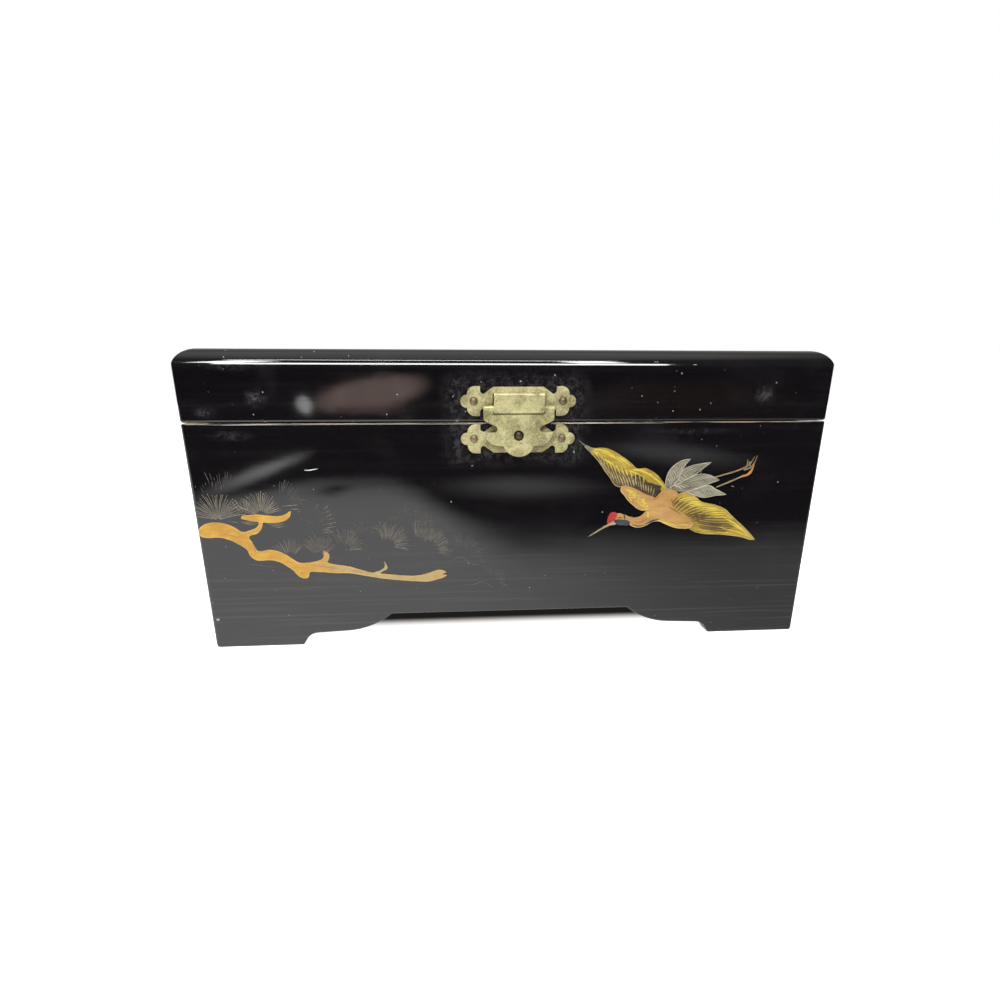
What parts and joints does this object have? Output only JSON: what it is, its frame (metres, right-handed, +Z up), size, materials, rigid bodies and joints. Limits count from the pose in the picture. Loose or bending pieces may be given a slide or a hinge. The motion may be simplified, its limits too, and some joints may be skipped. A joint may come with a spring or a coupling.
{
  "type": "lacquered box",
  "caption": "Black lacquered wooden box on bracket feet, with a hinged round-edged lid, a stamped brass hasp, a velvet-lined case and a mirror in the lid.",
  "frame": {"origin": "on the floor, under the middle of the whole box with its hasp and hinges", "axes": "+X to the right seen from the front, +Y to the back, +Z up; the front with the hasp faces -Y"},
  "size_m": [0.28, 0.1898, 0.1305],
  "materials": {
    "black_lacquer": "gloss black lacquer, a little dusty, worn at the rims; crane and pine painted on the front",
    "plain_wood": "bare pale wood, unvarnished",
    "red_velvet": "short-pile dark red velvet on card",
    "brass": "pale stamped brass, satin, speckled with age",
    "aged_brass": "browned brass of domed nails",
    "steel": "plain drawn steel",
    "mirror": "silvered plate glass"
  },
  "bodies": {
    "case": {"case_front_board": "black_lacquer", "case_back_board": "black_lacquer", "case_left_board": "black_lacquer", "case_right_board": "black_lacquer", "case_bottom_panel": "plain_wood", "corner_glue_blocks": "plain_wood", "lining_front": "red_velvet", "lining_back": "red_velvet", "lining_left": "red_velvet", "lining_right": "red_velvet", "partition": "red_velvet", "floor_card_large": "red_velvet", "floor_card_small": "red_velvet", "hinge_case_leaves": "brass", "hinge_case_screws": "brass", "hinge_pins": "steel", "hasp_lower_plate": "brass", "hasp_lower_nails": "aged_brass", "hasp_stud": "aged_brass"},
    "lid": {"lid_top_board": "black_lacquer", "lid_front_rim": "black_lacquer", "lid_back_rim": "black_lacquer", "lid_left_rim": "black_lacquer", "lid_right_rim": "black_lacquer", "lid_lining": "red_velvet", "mirror_glass": "mirror", "mirror_beading_long": "black_lacquer", "mirror_beading_short": "black_lacquer", "hinge_lid_leaves": "brass", "hinge_lid_screws": "brass", "hasp_upper_plate": "brass", "hasp_upper_nails": "aged_brass"},
    "hasp_leaf": {"hasp_leaf": "brass"}
  },
  "joints": [
    {"name": "lid_hinge", "type": "hinge", "parent": "case", "child": "lid", "pos_m": [0, 0.0917, 0.10115], "axis": [-1, 0, 0], "range_deg": [0, 100]},
    {"name": "hasp_hinge", "type": "hinge", "parent": "lid", "child": "hasp_leaf", "pos_m": [0.001, -0.0926, 0.1066], "axis": [-1, 0, 0], "range_deg": [0, 90]}
  ]
}
